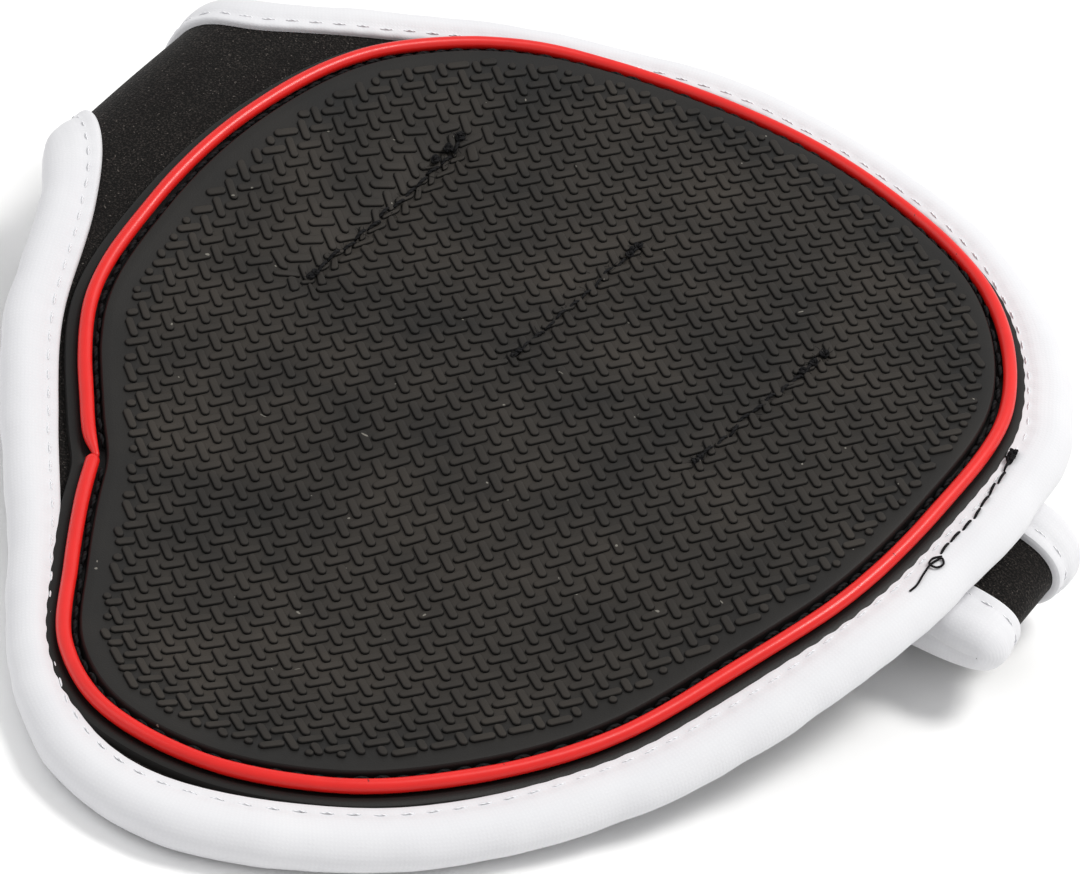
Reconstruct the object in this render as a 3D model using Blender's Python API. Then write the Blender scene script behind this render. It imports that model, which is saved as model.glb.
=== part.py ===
# Lifting grip pad: a cloth-backed rubber palm pad, worn by a strap sewn under it into four finger loops.
# It lies palm side up on its strap. +X runs along the strap, +Y towards the fingertips, +Z up, in metres.
import bpy
import numpy as np

pad_length = 0.112          # cloth edge, from the fold of the strap to the far side
pad_width = 0.134           # cloth edge, from the heel to the finger side
lie_height = 0.020          # unit of the heights at which the pad lies
neoprene = 0.0024           # thickness of the cloth base and of the strap
binding_cloth = 0.0008      # thickness of the binding's folded tape
binding_cover = 0.0046      # how far the tape reaches in over the cloth
rubber = 0.0022             # thickness of the rubber palm
rubber_skirt = 0.0006       # thickness of the rubber under the bead
groove_width = 0.0010       # stitch groove inside the bead
groove_depth = 0.0007
bead_radius = 0.0009
strap_end_width = 0.0185    # cloth width of the strap from the second seam on
fold_reach = 0.0085         # how far the fold bulges past the flat of the pad
fold_length = 0.0270        # cloth wrapped round the fold, from the flat of the pad to the floor
roll_reach = 0.0065         # how far the last loop bulges past its seam
gap = 0.00036               # clearance between pieces that touch
across_steps = 13           # steps across the cloth, which are also those of its far side
binding_points = 10         # points of the binding's section
strap_step = 0.002          # one step along the strap's path, in its surface's own coordinate

# Cloth outline. along is a share of pad_length from the fold, front and back are shares of pad_width.
outline_columns = ("along", "front", "back")
outline_rows = (
    (-0.19, 0.036, 0.216),
    (-0.05, 0.024, 0.222),
    (0.055, -0.036, 0.274),
    (0.13, -0.149, 0.324),
    (0.22, -0.238, 0.389),
    (0.32, -0.325, 0.440),
    (0.43, -0.434, 0.478),
    (0.54, -0.502, 0.488),
    (0.65, -0.508, 0.481),
    (0.75, -0.458, 0.464),
    (0.83, -0.388, 0.427),
    (0.90, -0.290, 0.373),
    (0.955, -0.172, 0.308),
    (0.985, -0.062, 0.245),
    (1.00, 0.035, 0.160),
)

# Red bead. along is a share of pad_length from the fold, across a share of pad_width.
bead_columns = ("along", "across")
bead_rows = (
    (0.952, 0.000),
    (0.957, 0.127),
    (0.927, 0.272),
    (0.812, 0.394),
    (0.634, 0.446),
    (0.446, 0.446),
    (0.271, 0.389),
    (0.156, 0.269),
    (0.121, 0.127),
    (0.128, 0.000),
    (0.167, -0.113),
    (0.253, -0.201),
    (0.318, -0.262),
    (0.380, -0.346),
    (0.450, -0.422),
    (0.524, -0.457),
    (0.636, -0.455),
    (0.734, -0.411),
    (0.822, -0.325),
    (0.879, -0.238),
    (0.923, -0.116),
)

# How the pad lies: height of the middle of the cloth, in shares of lie_height, where along and across cross.
across_stations = (-0.52, -0.37, -0.22, -0.04, 0.15, 0.36, 0.52)
lie_columns = ("along", "heel", "heel_inner", "palm", "front_of_strap", "strap", "fingers", "finger_edge")
lie_rows = (
    (0.00, 0.500, 0.500, 0.575, 0.750, 1.050, 1.275, 1.375),
    (0.11, 0.480, 0.480, 0.550, 0.730, 1.030, 1.275, 1.375),
    (0.22, 0.330, 0.330, 0.410, 0.600, 0.900, 1.175, 1.325),
    (0.33, 0.230, 0.215, 0.305, 0.545, 0.785, 1.065, 1.215),
    (0.45, 0.155, 0.118, 0.240, 0.535, 0.760, 1.010, 1.170),
    (0.58, 0.136, 0.096, 0.215, 0.530, 0.765, 0.990, 1.130),
    (0.75, 0.145, 0.126, 0.225, 0.515, 0.750, 0.950, 1.080),
    (1.00, 0.210, 0.175, 0.270, 0.530, 0.760, 0.940, 1.050),
)

# Strap. The seams hold it to the pad. They and along are shares of pad_length, front is a share of pad_width.
strap_seams = (0.300, 0.523, 0.750)
last_seam = 0.965
strap_columns = ("along", "front")
strap_rows = (
    (0.06, 0.036),
    (0.18, 0.040),
    (0.300, 0.058),
    (0.523, 0.083),
    (0.750, 0.078),
    (1.10, 0.084),
)
first_strap_width = 0.0240  # cloth width of the strap where it leaves the fold
roll_skew = 0.13            # the last seam leans by this much per unit across

half_cloth = neoprene / 2
half_binding = half_cloth + gap + binding_cloth
bend_line = fold_reach - pad_length / 2   # where the flat of the pad turns into the fold


def column(columns, rows, name):
    return np.array([row[columns.index(name)] for row in rows])


def smooth(at, values, where):
    """A curve through values at the stations, a cubic between each two, straight past both ends."""
    slopes = np.gradient(values, at, axis=0)
    row = np.clip(np.searchsorted(at, where) - 1, 0, len(at) - 2)
    inside = np.clip(where, at[0], at[-1])
    span = at[row + 1] - at[row]
    share = (inside - at[row]) / span
    pick = (row,) if values.ndim == 1 else (row, np.arange(values.shape[1]))
    following = (row + 1,) + pick[1:]
    low, high, rise, fall = values[pick], values[following], slopes[pick], slopes[following]
    left = (1 - share) ** 2
    right = share ** 2
    curve = low * (1 + 2 * share) * left + high * right * (3 - 2 * share)
    curve += span * (rise * share * left - fall * right * (1 - share))
    return curve + np.where(where < at[0], rise, fall) * (where - inside)


def closed_curve(points, count):
    """A smooth ring through points, evenly spaced: the points are repeated past both ends."""
    ring = np.concatenate([points[-3:], points, points[:3]])
    steps = np.concatenate([[0], np.cumsum(np.linalg.norm(np.diff(ring, axis=0), axis=1))])
    first, last = steps[3], steps[3 + len(points)]
    fine = np.linspace(first, last, 40 * len(points))
    path = np.stack([smooth(steps, ring[:, axis], fine) for axis in range(2)], axis=1)
    return even(path, count + 1)[:-1]


def even(path, count):
    """The same path with count points an equal distance apart."""
    steps = np.concatenate([[0], np.cumsum(np.linalg.norm(np.diff(path, axis=0), axis=1))])
    at = np.linspace(0, steps[-1], count)
    return np.stack([np.interp(at, steps, path[:, axis]) for axis in range(path.shape[1])], axis=1)


def lie(x, y):
    """Height of the middle of the cloth."""
    x, y = np.broadcast_arrays(x, y)
    along = x.ravel() / pad_length + 0.5
    across = y.ravel() / pad_width
    stations = column(lie_columns, lie_rows, "along")
    table = [smooth(stations, column(lie_columns, lie_rows, name), along) for name in lie_columns[1:]]
    height = lie_height * smooth(np.array(across_stations), np.stack(table), across)
    return height.reshape(x.shape)


def pad_surface(x, y):
    """Middle of the cloth. Past bend_line the length is wrapped round a half ellipse that ends on the floor."""
    x, y = np.broadcast_arrays(x, y)
    past = np.maximum(bend_line - x, 0)
    top = lie(np.maximum(x, bend_line), y)
    drop = (top - half_binding) / 2
    turn = np.pi * past / fold_length
    level = top - drop * (1 - np.cos(turn))
    return np.stack([np.maximum(x, bend_line) - fold_reach * np.sin(turn), y, level], axis=-1)


def lifted(surface, u, v, height):
    """Points at a height above a surface, along its normal."""
    step = 0.0002
    along = surface(u + step, v) - surface(u - step, v)
    across = surface(u, v + step) - surface(u, v - step)
    normal = np.cross(along, across)
    normal /= np.linalg.norm(normal, axis=-1, keepdims=True)
    return surface(u, v) + normal * np.asarray(height)[..., None]


def solid(name, points, faces, colour, roughness):
    mesh = bpy.data.meshes.new(name)
    mesh.from_pydata(points.reshape(-1, 3).tolist(), [], faces)
    mesh.validate()
    mesh.shade_smooth()
    mesh.set_sharp_from_angle(angle=0.7)
    material = bpy.data.materials.new(name)
    material.use_nodes = True
    shader = material.node_tree.nodes["Principled BSDF"]
    shader.inputs["Base Color"].default_value = (*colour, 1)
    shader.inputs["Roughness"].default_value = roughness
    mesh.materials.append(material)
    made = bpy.data.objects.new(name, mesh)
    bpy.context.scene.collection.objects.link(made)
    return made


def loop_faces(rows, columns, rows_close, turned=0):
    """Quads of a tube: rows sections of columns points each, and flat ends unless the tube closes on itself.

    The last turned rows of quads are split along their other diagonal."""
    faces = []
    for row in range(rows if rows_close else rows - 1):
        here, there = row * columns, (row + 1) % rows * columns
        for one in range(columns):
            two = (one + 1) % columns
            quad = (here + one, there + one, there + two, here + two)
            faces.append(quad if row < rows - turned else quad[1:] + quad[:1])
    if not rows_close:
        faces.append(tuple(range(columns)))
        faces.append(tuple(reversed(range((rows - 1) * columns, rows * columns))))
    return faces


def slab(surface, u, v, thickness):
    """Sections of a sheet: each goes across the top and back along the underside."""
    top = lifted(surface, u, v, thickness / 2)
    bottom = lifted(surface, u, v, -thickness / 2)
    return np.concatenate([top, bottom[:, ::-1]], axis=1)


def binding_section(cover):
    """Folded tape round a cloth edge, as distance outwards and height: an outer round and a slot for the cloth."""
    turns = np.radians([-90, -30, 30, 90])
    slot = half_cloth + gap
    outer = np.stack([half_binding * np.cos(turns), half_binding * np.sin(turns)], axis=1)
    rows = len(cover)
    section = np.zeros((rows, binding_points, 2))
    section[:, 1:5] = outer
    for place, height in ((0, -half_binding), (5, half_binding), (6, slot), (9, -slot)):
        section[:, place, 0] = -cover
        section[:, place, 1] = height
    section[:, 7] = 2 * gap, slot
    section[:, 8] = 2 * gap, -slot
    return section


def outwards(path, closed):
    """Unit vectors square to a path that runs anticlockwise, pointing out of what it encloses."""
    ahead = np.gradient(path, axis=0)
    if closed:
        ahead = np.roll(path, -1, axis=0) - np.roll(path, 1, axis=0)
    ahead /= np.linalg.norm(ahead, axis=1, keepdims=True)
    return np.stack([ahead[:, 1], -ahead[:, 0]], axis=1)


def sweep(surface, path, section, closed):
    """A section of distances outwards and heights, carried along a path that lies on a surface."""
    flat = path[:, None, :] + outwards(path, closed)[:, None, :] * section[..., :1]
    return lifted(surface, flat[..., 0], flat[..., 1], section[..., 1])


def bead_line(count):
    along = column(bead_columns, bead_rows, "along") - 0.5
    across = column(bead_columns, bead_rows, "across")
    points = np.stack([along * pad_length, across * pad_width], axis=1)
    return closed_curve(points, count)


def outline(side, along):
    """Front or back edge of the cloth at shares of the length."""
    rows = column(outline_columns, outline_rows, "along")
    return pad_width * smooth(rows, column(outline_columns, outline_rows, side), along)


def cloth_rows():
    """Flat places of the front and back edge, row by row from under the fold to the far side."""
    bend = bend_line / pad_length + 0.5
    around = np.linspace(bend - fold_length / pad_length, bend, 17)[:-1]
    flat = 1 - (1 - np.linspace(0, 1, 35)) ** 1.5
    along = np.concatenate([around, bend + (1 - bend) * flat])
    x = (along - 0.5) * pad_length
    return np.stack([x, outline("front", along)], axis=1), np.stack([x, outline("back", along)], axis=1)


def palm_panel():
    front, back = cloth_rows()
    share = np.linspace(0, 1, across_steps + 1)[:, None]
    flat = front[:, None] + (back - front)[:, None] * share
    sections = slab(pad_surface, flat[..., 0], flat[..., 1], neoprene)
    faces = loop_faces(len(front), 2 * len(share), False)
    return solid("palm_panel", sections, faces, (0.012, 0.012, 0.013), 0.9)


def cloth_edge():
    """Edge of the pad from under the fold, along the heel, round the far side and back to the fold."""
    front, back = cloth_rows()
    share = np.linspace(0, 1, across_steps + 1)[1:-1, None]
    return np.concatenate([front, front[-1] + (back[-1] - front[-1]) * share, back[::-1]])


def edge_binding():
    path = cloth_edge()
    bead = bead_line(240)
    room = np.linalg.norm(path[:, None] - bead[None], axis=2).min(axis=1) - bead_radius - 2 * gap
    cover = np.minimum(binding_cover, room)
    points = sweep(pad_surface, path, binding_section(cover), False)
    faces = loop_faces(len(path), binding_points, False, turned=len(path) // 2)
    return solid("edge_binding", points, faces, (0.87, 0.87, 0.88), 0.8)


def rubber_palm():
    """Rings from the middle out to the bead, down the stitch groove, under the bead and back underneath."""
    count = 60
    line = bead_line(count)
    out = outwards(line, True)
    middle = line.mean(axis=0)
    base = half_cloth + gap
    top = base + rubber
    channel = bead_radius + gap
    inner = -channel - gap
    rim = ((inner - groove_width - groove_depth, top), (inner - groove_width, top - groove_depth),
           (inner, top - groove_depth), (-channel, base + rubber_skirt), (bead_radius, base + rubber_skirt),
           (bead_radius, base), (inner - groove_width - groove_depth, base))
    shares = np.array([0.01, 0.13, 0.25, 0.37, 0.49, 0.60, 0.71, 0.81, 0.91])
    edge = line + out * rim[0][0]
    rings = [(middle + (edge - middle) * share, top) for share in shares]
    rings += [(line + out * reach, height) for reach, height in rim]
    rings += [(middle + (edge - middle) * share, base) for share in shares[::-1]]
    flat = np.stack([ring for ring, _ in rings])
    height = np.repeat(np.array([level for _, level in rings])[:, None], count, axis=1)
    points = lifted(pad_surface, flat[..., 0], flat[..., 1], height)
    faces = loop_faces(len(rings), count, False)
    return solid("rubber_palm", points, faces, (0.045, 0.042, 0.038), 0.7)


def red_bead():
    path = bead_line(80)
    turns = np.arange(6) * np.pi / 3
    level = half_cloth + gap + rubber_skirt + gap + bead_radius
    section = np.stack([bead_radius * np.cos(turns), level + bead_radius * np.sin(turns)], axis=1)
    points = sweep(pad_surface, path, np.repeat(section[None], len(path), axis=0), True)
    return solid("red_bead", points, loop_faces(len(path), len(turns), True), (0.80, 0.02, 0.015), 0.3)


def strap_path():
    """Middle line of the strap as along and rise: 0 on the floor, 1 at a seam under the pad."""
    seams = strap_seams
    start = bend_line / pad_length + 0.5 + 2 * gap / pad_length
    first = np.linspace(start, seams[0], 12)
    share = np.clip((first - start) / (seams[0] - start) * 2 - 1, 0, 1)
    parts = [np.stack([first, (1 - np.cos(np.pi * share)) / 2], axis=1)]
    for here, there in zip(seams[:-1], seams[1:]):
        share = np.linspace(0, 1, 12)[1:]
        rise = (1 + np.cos(2 * np.pi * share)) / 2
        parts.append(np.stack([here + (there - here) * share, rise], axis=1))
    turn_line = last_seam + 0.02
    share = np.linspace(0, 1, 11)[1:]
    rise = (1 + np.cos(np.pi * np.clip(share * 2, 0, 1))) / 2
    parts.append(np.stack([seams[-1] + (turn_line - seams[-1]) * share, rise], axis=1))
    turn = np.linspace(-90, 90, 8)[1:] * np.pi / 180
    reach = roll_reach / pad_length
    parts.append(np.stack([turn_line + reach * np.cos(turn), (1 + np.sin(turn)) / 2], axis=1))
    parts.append(np.array([[turn_line - 0.03, 1.0], [turn_line - 0.06, 1.0]]))
    return np.concatenate(parts)


def strap_surface(station, y):
    """Middle of the strap at a station of its path: level on the floor, and tilted as the pad is at its seams."""
    path = strap_path()
    at = np.arange(len(path))
    station, y = np.broadcast_arrays(station / strap_step, y)
    along = smooth(at, path[:, 0], station.ravel()).reshape(y.shape)
    rise = np.clip(smooth(at, path[:, 1], station.ravel()), 0, 1).reshape(y.shape)
    middle = pad_width * 0.145
    skewed = np.clip((along - 0.80) / 0.15, 0, 1)
    x = (along - 0.5) * pad_length - roll_skew * skewed * (y - middle)
    last = (last_seam - 0.5) * pad_length - roll_skew * skewed * (y - middle)
    under = half_cloth + (half_binding - half_cloth) * skewed
    clear = (under + gap + half_binding) * 1.05
    seam_level = lie(np.minimum(x, last), y) - clear
    return np.stack([x, y, half_binding + rise * (seam_level - half_binding)], axis=-1)


def strap_edges():
    path = strap_path()
    along = path[:, 0]
    rows = column(strap_columns, strap_rows, "along")
    front = pad_width * smooth(rows, column(strap_columns, strap_rows, "front"), along)
    fold = bend_line / pad_length + 0.5
    narrowing = np.clip((along - fold) / (strap_seams[1] - fold), 0, 1)
    width = first_strap_width + (strap_end_width - first_strap_width) * narrowing
    return front, front + width


def finger_strap():
    front, back = strap_edges()
    station = np.arange(len(front)) * strap_step
    share = np.linspace(0, 1, 4)
    u = np.repeat(station[:, None], len(share), axis=1)
    v = front[:, None] + (back - front)[:, None] * share
    sections = slab(strap_surface, u, v, neoprene)
    faces = loop_faces(len(front), 2 * len(share), False)
    return solid("finger_strap", sections, faces, (0.012, 0.012, 0.013), 0.9)


def strap_binding(name, edge, outside):
    """Tape along one edge of the strap. outside is -1 at the front edge and 1 at the back edge."""
    station = np.arange(len(edge)) * strap_step
    section = binding_section(np.full(len(edge), binding_cover))
    v = edge[:, None] + outside * section[..., 0]
    u = np.repeat(station[:, None], section.shape[1], axis=1)
    points = lifted(strap_surface, u, v, section[..., 1])
    faces = loop_faces(len(edge), section.shape[1], False)
    if outside > 0:
        faces = [tuple(reversed(face)) for face in faces]
    return solid(name, points, faces, (0.87, 0.87, 0.88), 0.8)


def seat(pieces):
    """Moves every piece by the same amount, so that the origin is under the middle of the whole."""
    corners = np.array([vertex.co for piece in pieces for vertex in piece.data.vertices])
    low, high = corners.min(axis=0), corners.max(axis=0)
    move = np.array([(low[0] + high[0]) / 2, (low[1] + high[1]) / 2, low[2]])
    for piece in pieces:
        points = np.array([vertex.co for vertex in piece.data.vertices]) - move
        piece.data.vertices.foreach_set("co", points.ravel())
        piece.data.update()
    print("middle of the whole", move, "size", high - low)


for old in list(bpy.data.objects):
    bpy.data.objects.remove(old)

front_edge, back_edge = strap_edges()
seat([
    palm_panel(),
    edge_binding(),
    rubber_palm(),
    red_bead(),
    finger_strap(),
    strap_binding("strap_binding_front", front_edge, -1),
    strap_binding("strap_binding_back", back_edge, 1),
])
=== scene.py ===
import bpy
import numpy as np
from mathutils import Matrix


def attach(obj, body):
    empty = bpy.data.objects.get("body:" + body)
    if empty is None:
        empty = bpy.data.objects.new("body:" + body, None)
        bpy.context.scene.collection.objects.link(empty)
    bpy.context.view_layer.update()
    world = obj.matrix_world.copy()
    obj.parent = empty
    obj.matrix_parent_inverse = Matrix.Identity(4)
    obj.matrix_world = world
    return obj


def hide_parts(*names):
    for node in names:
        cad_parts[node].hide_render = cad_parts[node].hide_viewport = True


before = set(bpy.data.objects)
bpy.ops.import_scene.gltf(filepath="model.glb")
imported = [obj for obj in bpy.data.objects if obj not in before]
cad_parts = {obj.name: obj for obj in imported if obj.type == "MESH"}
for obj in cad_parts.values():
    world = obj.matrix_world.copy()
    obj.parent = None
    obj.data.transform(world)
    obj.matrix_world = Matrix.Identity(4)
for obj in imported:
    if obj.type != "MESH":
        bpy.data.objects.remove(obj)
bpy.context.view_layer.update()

mm = 0.001
print("frame loaded:", sorted(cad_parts))

# The pad, palm side up on its strap: lengths in metres, tables as shares of the cloth's length and width
pad = {
    "length": 112 * mm,
    "width": 134 * mm,
    "lieUnit": 20 * mm,        # unit of the heights at which the pad lies
    "cloth": 2.4 * mm,
    "tapeReach": 2.36 * mm,    # from the middle of the cloth to the outside of the tape
    "foldReach": 8.5 * mm,
    "foldSquare": 2.6,         # 2 is half an ellipse, more is boxier
    "foldShift": -3.3 * mm,    # how far the fold lies past the solid's; it leans by foldLean across
    "foldLean": -0.07,
    "foldMiddle": 16 * mm,
    "foldSpan": (-8 * mm, 40 * mm),
    "foldLength": 27 * mm,     # cloth wrapped round the fold, from the flat of the pad to the floor
    "rollReach": 6.9 * mm,     # how far the last loop bulges past its seam
    "strapStart": 24 * mm,     # cloth width of the strap where it leaves the fold
    "strapEnd": 19.6 * mm,
    "seamDent": 0.7 * mm,      # how deep the seams pull the pad down
    "seamDentWidth": 3.0 * mm,
    "seamDentFade": 2.4 * mm,
}
halfCloth = pad["cloth"] / 2
seat = np.array([-2.745, 1.616, 0]) * mm           # from the flat pattern's own place to the solids'
bendLine = pad["foldReach"] - pad["length"] / 2    # where the flat of the solid turns into its fold

outlineColumns = ("along", "front", "back")
outlineRows = (
    (-0.20, 0.062, 0.238),
    (-0.09, 0.066, 0.240),
    (-0.03, 0.052, 0.238),
    (0.015, 0.014, 0.242),
    (0.066, -0.047, 0.266),
    (0.13, -0.147, 0.308),
    (0.22, -0.238, 0.378),
    (0.32, -0.326, 0.438),
    (0.43, -0.433, 0.478),
    (0.54, -0.500, 0.486),
    (0.65, -0.508, 0.478),
    (0.75, -0.461, 0.458),
    (0.83, -0.390, 0.420),
    (0.90, -0.288, 0.370),
    (0.955, -0.166, 0.306),
    (0.985, -0.058, 0.245),
    (1.00, 0.035, 0.160),
)

# The bead runs from its joint at the waist round the heel, the far side and the finger side back to it
beadColumns = ("along", "across")
beadRows = (
    (0.304, -0.243),
    (0.323, -0.272),
    (0.351, -0.310),
    (0.380, -0.346),
    (0.450, -0.422),
    (0.524, -0.457),
    (0.636, -0.455),
    (0.734, -0.411),
    (0.822, -0.325),
    (0.879, -0.238),
    (0.923, -0.116),
    (0.954, 0.000),
    (0.956, 0.127),
    (0.927, 0.272),
    (0.812, 0.394),
    (0.634, 0.446),
    (0.446, 0.443),
    (0.271, 0.385),
    (0.160, 0.269),
    (0.125, 0.127),
    (0.132, 0.000),
    (0.168, -0.113),
    (0.253, -0.201),
    (0.279, -0.224),
    (0.304, -0.243),
)

# Height of the middle of the cloth in shares of lieUnit
acrossStations = (-0.52, -0.37, -0.22, -0.04, 0.15, 0.36, 0.52)
lieColumns = ("along", "heel", "heelInner", "palm", "frontOfStrap", "strap", "fingers", "fingerEdge")
lieRows = (
    (0.00, 0.500, 0.500, 0.575, 0.750, 1.050, 1.275, 1.375),
    (0.11, 0.480, 0.480, 0.550, 0.730, 1.030, 1.275, 1.375),
    (0.22, 0.330, 0.330, 0.410, 0.600, 0.900, 1.175, 1.325),
    (0.33, 0.230, 0.215, 0.305, 0.545, 0.785, 1.065, 1.215),
    (0.45, 0.155, 0.118, 0.240, 0.535, 0.760, 1.010, 1.170),
    (0.58, 0.136, 0.096, 0.215, 0.530, 0.765, 0.990, 1.130),
    (0.75, 0.145, 0.126, 0.225, 0.515, 0.750, 0.950, 1.080),
    (1.00, 0.210, 0.175, 0.270, 0.530, 0.760, 0.940, 1.050),
)

# Seams through the pad and the strap: both ends of each, and its share of the dent
seamColumns = ("frontAlong", "front", "backAlong", "back", "dent")
seamRows = (
    (0.3045, 0.028, 0.3027, 0.224, 1.0),
    (0.527, 0.056, 0.526, 0.231, 0.35),
    (0.7455, 0.049, 0.7536, 0.221, 0.35),
)
strapSeams = (0.300, 0.523, 0.750)
lastSeam = 0.965
strapColumns = ("along", "front")
strapRows = (
    (0.06, 0.062),
    (0.18, 0.060),
    (0.300, 0.058),
    (0.523, 0.083),
    (0.750, 0.078),
    (1.10, 0.100),
)


# tables: one column as an array, or each row as a dictionary
def columnOf(columns, rows, name):
    return np.array([row[columns.index(name)] for row in rows])


def namedRows(columns, rows):
    return [dict(zip(columns, row)) for row in rows]


# cubic through the values: low h00 + high h01 + span (rise h10 + fall h11), straight past both ends
def smoothCurve(at, values, where):
    slopes = np.gradient(values, at, axis=0)
    row = np.clip(np.searchsorted(at, where) - 1, 0, len(at) - 2)
    inside = np.clip(where, at[0], at[-1])
    span = at[row + 1] - at[row]
    share = (inside - at[row]) / span
    pick = (row,) if values.ndim == 1 else (row, np.arange(values.shape[1]))
    following = (row + 1,) + pick[1:]
    low, high, rise, fall = values[pick], values[following], slopes[pick], slopes[following]
    left = (1 - share) ** 2
    right = share ** 2
    curve = low * (1 + 2 * share) * left + high * right * (3 - 2 * share)
    curve += span * (rise * share * left - fall * right * (1 - share))
    return curve + np.where(where < at[0], rise, fall) * (where - inside)


# running length of a path: sum of the distances between its points
def runOf(path):
    return np.concatenate([[0], np.cumsum(np.linalg.norm(np.diff(path, axis=0), axis=1))])


# the path read at given running lengths
def pathAt(path, run, at):
    return np.stack([np.interp(at, run, path[:, axis]) for axis in range(path.shape[1])], axis=-1)


# the path again, with a number of evenly spaced points
def evenPath(path, count):
    run = runOf(path)
    return pathAt(path, run, np.linspace(0, run[-1], count))


# an open cubic curve through points
def curveThrough(points, count):
    run = runOf(points)
    fine = np.linspace(0, run[-1], 40 * len(points))
    return evenPath(np.stack([smoothCurve(run, points[:, axis], fine) for axis in range(2)], axis=1), count)


# unit vectors square to a path that runs anticlockwise, pointing out of what it encloses
def outwardOf(path, closed):
    ahead = np.gradient(path, axis=0)
    if closed:
        ahead = np.roll(path, -1, axis=0) - np.roll(path, 1, axis=0)
    ahead /= np.linalg.norm(ahead, axis=1, keepdims=True)
    return np.stack([ahead[:, 1], -ahead[:, 0]], axis=1)


# mean over a window of a few points on both sides
def blurred(values, reach, closed):
    weights = np.hanning(2 * reach + 3)[1:-1]
    weights /= weights.sum()
    padded = np.pad(values, (reach, reach), mode="wrap" if closed else "edge")
    return np.convolve(padded, weights, mode="valid")


# a slow wave in -1..1: three sines of unlike lengths and heights with seeded phases
waveRows = ((1, 1), (0.62, 0.7), (0.37, 0.4))    # shares of its length and height


def wander(at, wave, seed):
    phases = np.random.default_rng(seed).uniform(0, 2 * np.pi, len(waveRows))
    total = 0
    for (length, height), phase in zip(waveRows, phases):
        total = total + height * np.sin(2 * np.pi * at / (wave * length) + phase)
    return total / sum(height for _, height in waveRows)


# height of the middle of the cloth: cubics along, then a cubic across
def lieHeight(x, y):
    x, y = np.broadcast_arrays(x, y)
    along = x.ravel() / pad["length"] + 0.5
    across = y.ravel() / pad["width"]
    stations = columnOf(lieColumns, lieRows, "along")
    table = [smoothCurve(stations, columnOf(lieColumns, lieRows, name), along) for name in lieColumns[1:]]
    height = pad["lieUnit"] * smoothCurve(np.array(acrossStations), np.stack(table), across)
    return height.reshape(x.shape)


# how far the seams pull the pad down: a Gaussian of the distance across each seam, faded past its ends
def seamDent(x, y):
    deep = 0
    for row in namedRows(seamColumns, seamRows):
        start, end = ((row[side] - 0.5) * pad["length"] for side in ("frontAlong", "backAlong"))
        front, back = (row[side] * pad["width"] for side in ("front", "back"))
        place = np.clip((y - front) / (back - front), 0, 1)
        across = (x - start - place * (end - start)) / pad["seamDentWidth"]
        past = (y - front - place * (back - front)) / pad["seamDentFade"]
        deep = deep + row["dent"] * pad["seamDent"] * np.exp(-across ** 2 - past ** 2)
    return deep


# how far the fold lies past the solid's at a place across
def foldShift(y):
    return pad["foldShift"] + pad["foldLean"] * (np.clip(y, *pad["foldSpan"]) - pad["foldMiddle"])


# middle of the cloth; past the bend the length is wrapped round half a superellipse that ends on the floor
def padSurface(x, y):
    x, y = np.broadcast_arrays(x, y)
    bend = bendLine + foldShift(y)
    past = np.maximum(bend - x, 0)
    top = lieHeight(np.maximum(x, bend), y) - seamDent(np.maximum(x, bend), y)
    drop = (top - pad["tapeReach"]) / 2
    turn = np.pi * past / pad["foldLength"]
    square = pad["foldSquare"]
    reach = (np.abs(np.sin(turn)) ** square + np.abs(np.cos(turn)) ** square) ** (-1 / square)
    level = top - drop * (1 - reach * np.cos(turn))
    return np.stack([np.maximum(x, bend) - pad["foldReach"] * reach * np.sin(turn), y, level], axis=-1)


# points at a height above a surface: place + height * unit normal
def lifted(surface, u, v, height):
    step = 0.2 * mm
    along = surface(u + step, v) - surface(u - step, v)
    across = surface(u, v + step) - surface(u, v - step)
    normal = np.cross(along, across)
    normal /= np.linalg.norm(normal, axis=-1, keepdims=True)
    return surface(u, v) + normal * np.asarray(height)[..., None]


beadPoints = np.stack([(columnOf(beadColumns, beadRows, "along") - 0.5) * pad["length"],
                       columnOf(beadColumns, beadRows, "across") * pad["width"]], axis=1)
beadPath = curveThrough(beadPoints, 901)
rimPath = np.stack([blurred(beadPath[:-1, axis], 9, True) for axis in range(2)], axis=1)
beadMiddle = rimPath.mean(axis=0)


# quads of a grid of points, closed or open either way
def gridQuads(rows, columns, closeRows=False, closeColumns=False):
    row = np.arange(rows if closeRows else rows - 1)[:, None]
    column = np.arange(columns if closeColumns else columns - 1)[None]
    here, there = row * columns, (row + 1) % rows * columns
    one, two = column, (column + 1) % columns
    return np.stack([here + one, there + one, there + two, here + two], axis=-1).reshape(-1, 4)


# signed volume: the sum of the boxes that each triangle spans with the origin
def volumeOf(points, quads):
    a, b, c, d = (points[quads[:, corner]] for corner in range(4))
    return (np.cross(a, b) * c).sum() + (np.cross(a, c) * d).sum()


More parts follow.
